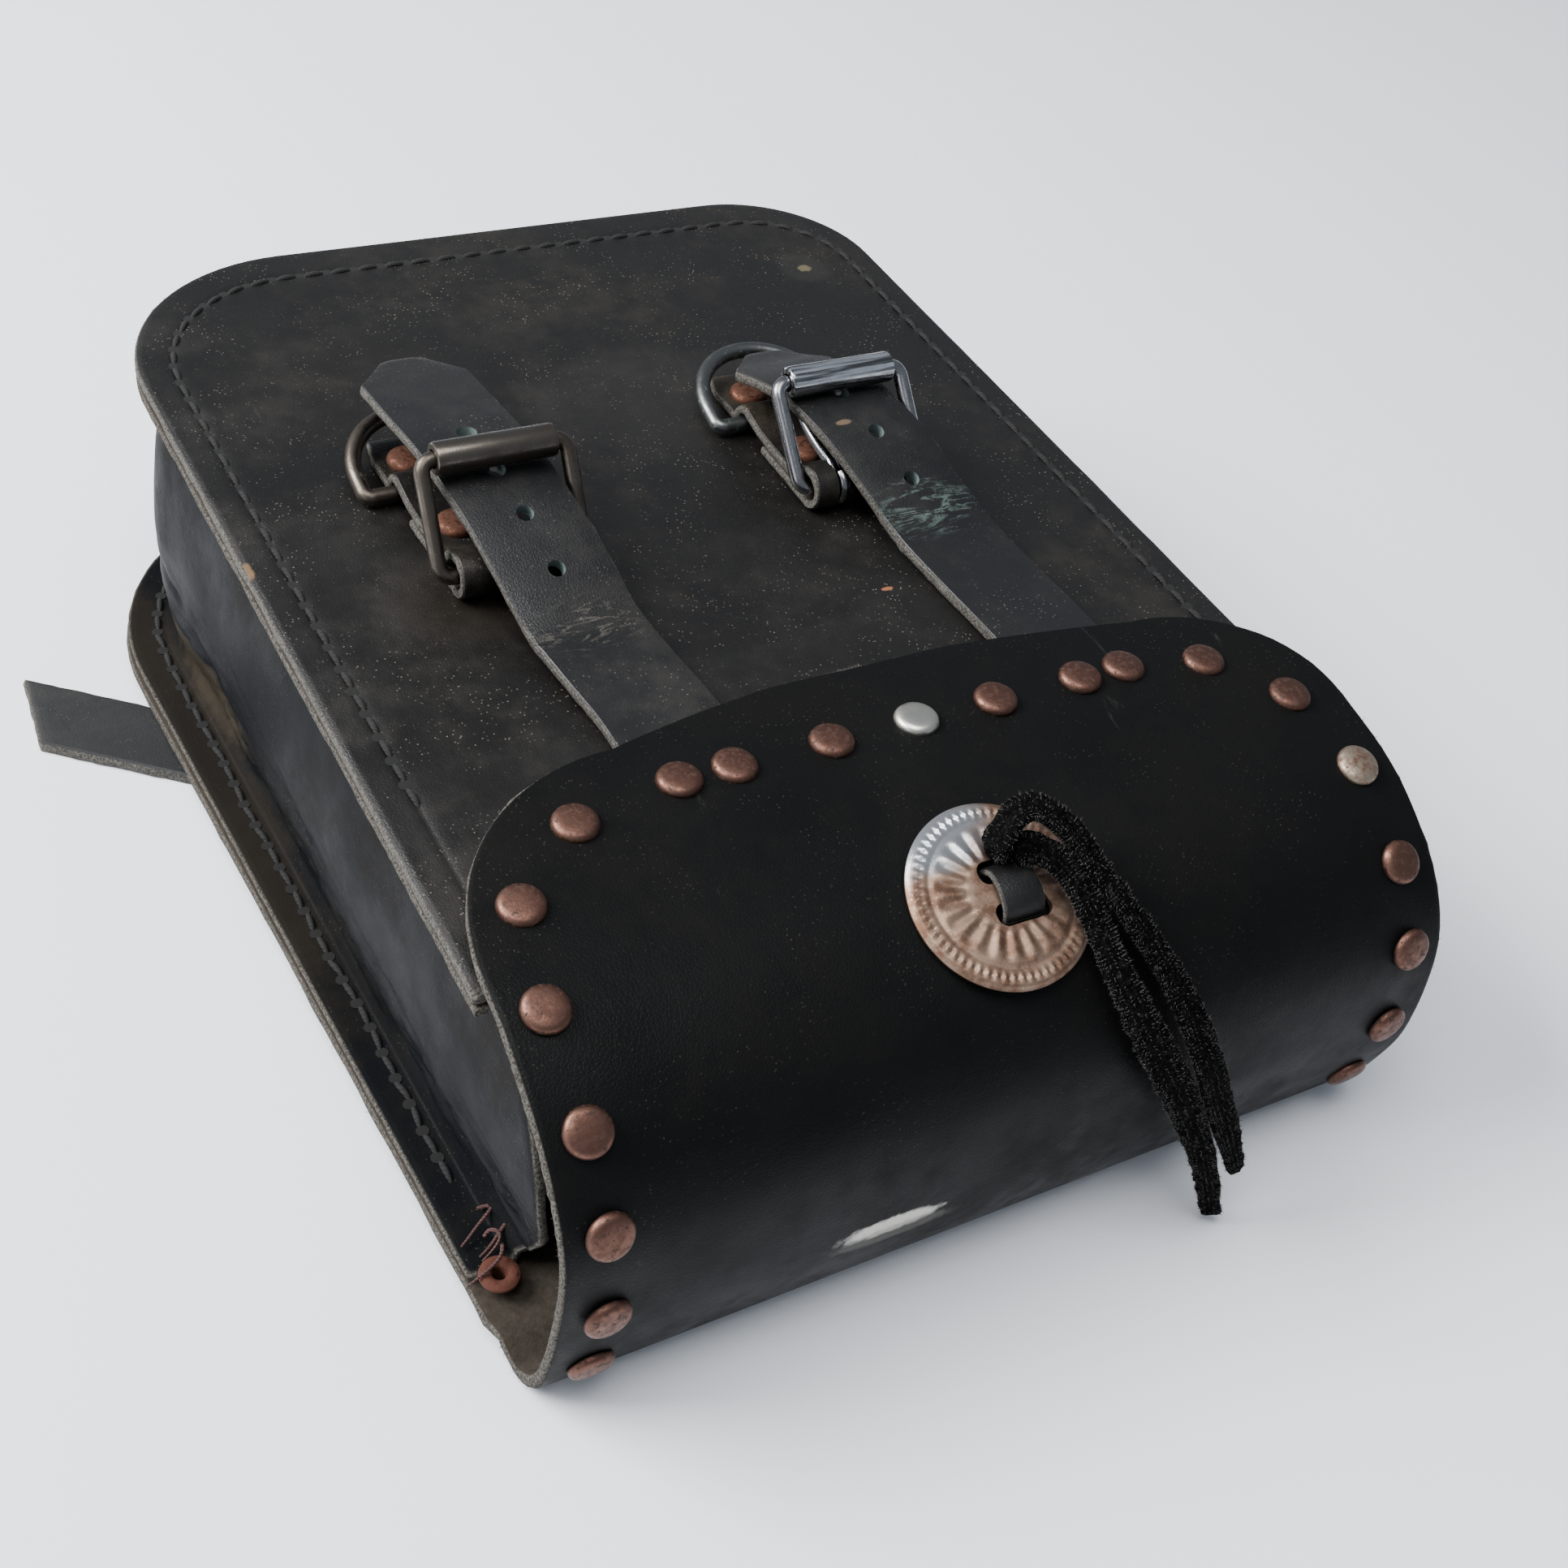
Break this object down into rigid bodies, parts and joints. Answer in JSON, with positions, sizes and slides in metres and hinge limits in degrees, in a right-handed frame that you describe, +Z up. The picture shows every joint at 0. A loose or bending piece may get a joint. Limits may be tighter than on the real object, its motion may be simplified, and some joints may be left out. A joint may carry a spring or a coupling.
{
  "type": "saddlebag",
  "caption": "Small black leather motorcycle saddlebag with a riveted wrap-over lid, two buckled straps, D-rings, stitched gusset and a laced round ornament.",
  "frame": {"origin": "centre of the footprint on the surface under the bag, which lies on its back", "axes": "+X across the bag to its right as seen from above with the lid nearest, +Y from the lid's fold to the bag's bottom, +Z up out of the front panel"},
  "size_m": [0.2774, 0.3005, 0.1061],
  "materials": {
    "panel_leather": "satin",
    "strap_leather": "satin",
    "lace_suede": "matte",
    "copper_rivet": "aged",
    "nickel_rivet": "satin",
    "rusty_steel": "rough",
    "dark_steel": "satin",
    "bright_steel": "polished",
    "concho_metal": "aged",
    "thread": "matte"
  },
  "bodies": {
    "bag": {"back_panel": "panel_leather", "gusset": "panel_leather", "front_panel": "panel_leather", "chape_left": "strap_leather", "chape_right": "strap_leather", "chape_rivet_left_1": "copper_rivet", "chape_rivet_left_2": "copper_rivet", "chape_rivet_left_3": "copper_rivet", "chape_rivet_left_4": "copper_rivet", "tubular_rivet_left": "rusty_steel", "mounting_strap_left": "strap_leather", "mounting_rivet_left_1": "rusty_steel", "mounting_rivet_left_2": "rusty_steel", "chape_rivet_right_1": "copper_rivet", "chape_rivet_right_2": "copper_rivet", "chape_rivet_right_3": "copper_rivet", "chape_rivet_right_4": "copper_rivet", "tubular_rivet_right": "rusty_steel", "mounting_strap_right": "strap_leather", "mounting_rivet_right_1": "rusty_steel", "mounting_rivet_right_2": "rusty_steel"},
    "lid": {"lid_panel": "panel_leather", "lid_rivet_01": "copper_rivet", "lid_rivet_02": "copper_rivet", "lid_rivet_03": "copper_rivet", "lid_rivet_04": "copper_rivet", "lid_rivet_05": "copper_rivet", "lid_rivet_06": "copper_rivet", "lid_rivet_07": "copper_rivet", "lid_rivet_08": "copper_rivet", "lid_rivet_09": "copper_rivet", "lid_rivet_10": "copper_rivet", "lid_rivet_11": "nickel_rivet", "lid_rivet_12": "copper_rivet", "lid_rivet_13": "copper_rivet", "lid_rivet_14": "copper_rivet", "lid_rivet_15": "copper_rivet", "lid_rivet_16": "copper_rivet", "lid_rivet_17": "nickel_rivet", "lid_rivet_18": "copper_rivet", "lid_rivet_19": "copper_rivet", "lid_rivet_20": "copper_rivet", "lid_rivet_21": "copper_rivet", "strap_left": "strap_leather", "strap_right": "strap_leather", "concho": "concho_metal", "lace_loop": "lace_suede", "lace_tail_1": "lace_suede", "lace_tail_2": "lace_suede"},
    "buckle_left": {"buckle_frame_left": "dark_steel"},
    "roller_left": {"buckle_roller_left": "dark_steel"},
    "prong_left": {"buckle_prong_left": "dark_steel"},
    "ring_left": {"d_ring_left": "dark_steel"},
    "buckle_right": {"buckle_frame_right": "bright_steel"},
    "roller_right": {"buckle_roller_right": "bright_steel"},
    "prong_right": {"buckle_prong_right": "bright_steel"},
    "ring_right": {"d_ring_right": "bright_steel"}
  },
  "joints": [
    {"name": "lid_hinge", "type": "hinge", "parent": "bag", "child": "lid", "pos_m": [0, -0.1237, 0.00335], "axis": [1, 0, 0], "range_deg": [0, 75], "deforming": ["strap_left", "strap_right"]},
    {"name": "buckle_left_hinge", "type": "hinge", "parent": "bag", "child": "buckle_left", "pos_m": [-0.0506, 0.0038, 0.0824], "axis": [1, 0, 0], "range_deg": [-41, 113], "deforming": ["strap_left"]},
    {"name": "roller_left_spin", "type": "hinge", "parent": "buckle_left", "child": "roller_left", "pos_m": [-0.0506, 0.01785, 0.10247], "axis": [1, 0, 0], "continuous": true},
    {"name": "prong_left_hinge", "type": "hinge", "parent": "bag", "child": "prong_left", "pos_m": [-0.0496, 0.0038, 0.0824], "axis": [1, 0, 0], "range_deg": [-2, 140], "deforming": ["strap_left"]},
    {"name": "d_ring_left_hinge", "type": "hinge", "parent": "bag", "child": "ring_left", "pos_m": [-0.054, 0.0383, 0.07935], "axis": [1, 0, 0], "range_deg": [-2, 56], "deforming": ["strap_left"]},
    {"name": "buckle_right_hinge", "type": "hinge", "parent": "bag", "child": "buckle_right", "pos_m": [0.0395, 0.0103, 0.0824], "axis": [1, 0, 0], "range_deg": [-31, 123], "deforming": ["strap_right"]},
    {"name": "roller_right_spin", "type": "hinge", "parent": "buckle_right", "child": "roller_right", "pos_m": [0.0395, 0.02762, 0.09972], "axis": [1, 0, 0], "continuous": true},
    {"name": "prong_right_hinge", "type": "hinge", "parent": "bag", "child": "prong_right", "pos_m": [0.0326, 0.0103, 0.0824], "axis": [1, 0, 0], "range_deg": [-2, 140], "deforming": ["strap_right"]},
    {"name": "d_ring_right_hinge", "type": "hinge", "parent": "bag", "child": "ring_right", "pos_m": [0.035, 0.0418, 0.07935], "axis": [1, 0, 0], "range_deg": [-2, 56], "deforming": ["strap_right"]}
  ]
}
